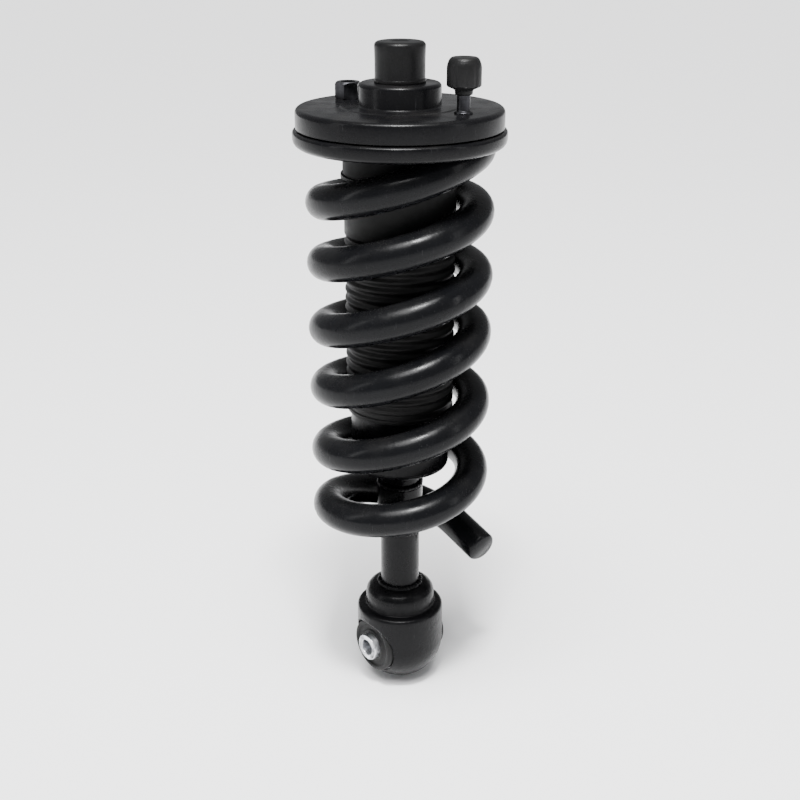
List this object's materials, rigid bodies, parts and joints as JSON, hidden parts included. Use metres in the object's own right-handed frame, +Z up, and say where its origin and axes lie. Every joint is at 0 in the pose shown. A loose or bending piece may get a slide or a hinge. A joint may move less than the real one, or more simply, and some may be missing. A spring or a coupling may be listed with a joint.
{
  "type": "strut assembly",
  "caption": "Suspension strut: a heavy black coil spring around a pleated dust boot and damper, a round studded top mount and a rubber-bushed eye below.",
  "frame": {"origin": "on the strut's axis, in the plane of the top plate's raised face that meets the body", "axes": "+Z up along the strut's axis, out of the top plate; Y along the bore of the lower eye"},
  "size_m": [0.143, 0.143, 0.4775],
  "materials": {
    "black_paint": "gloss black paint",
    "cap_plastic": "satin black moulding",
    "rubber": "matte black rubber",
    "foam": "matte foam",
    "zinc": "zinc plate",
    "machined_steel": "machined",
    "black_zinc": "black passivated zinc plate, satin",
    "chrome": "polished hard chrome",
    "band": "filled low-friction plastic",
    "spring_paint": "gloss black powder coat"
  },
  "bodies": {
    "top_mount": {"top_cap": "cap_plastic", "rod_nut": "zinc", "rebound_washer": "zinc", "mount_plate": "black_paint", "mount_rubber": "rubber", "mount_sleeve": "machined_steel", "upper_spring_seat": "black_paint", "upper_isolator": "rubber", "long_stud": "black_zinc", "short_stud": "black_zinc", "stud_nut": "black_zinc", "bump_cup": "zinc", "bump_stop": "foam", "piston_rod": "chrome", "piston": "machined_steel", "piston_band": "band", "valve_shims": "machined_steel", "piston_nut": "zinc", "rebound_stop": "rubber", "dust_boot": "rubber", "coil_spring": "spring_paint"},
    "protector": {"stud_protector": "cap_plastic"},
    "damper_body": {"body_tube": "black_paint", "gland_cap": "black_paint", "rod_wiper": "rubber", "rod_guide": "machined_steel", "inner_tube": "machined_steel", "foot_valve": "machined_steel", "body_base": "black_paint", "stem": "black_paint", "perch_hub": "black_paint", "spring_perch": "black_paint", "eye_housing": "black_paint", "bush_shell": "zinc", "bush_rubber": "rubber"},
    "lower_sleeve": {"bush_sleeve": "zinc"}
  },
  "joints": [
    {"name": "strut_slide", "type": "slide", "parent": "top_mount", "child": "damper_body", "axis": [0, 0, 1], "range_m": [0, 0.06], "stiffness_N_per_m": 25000, "springref_m": -0.02, "deforming": ["coil_spring", "dust_boot"]},
    {"name": "sleeve_twist", "type": "hinge", "parent": "damper_body", "child": "lower_sleeve", "pos_m": [0, 0, -0.404], "axis": [0, 1, 0], "range_deg": [-20, 20]},
    {"name": "protector_pull", "type": "slide", "parent": "top_mount", "child": "protector", "axis": [0, 0, 1], "range_m": [0, 0.04]}
  ]
}
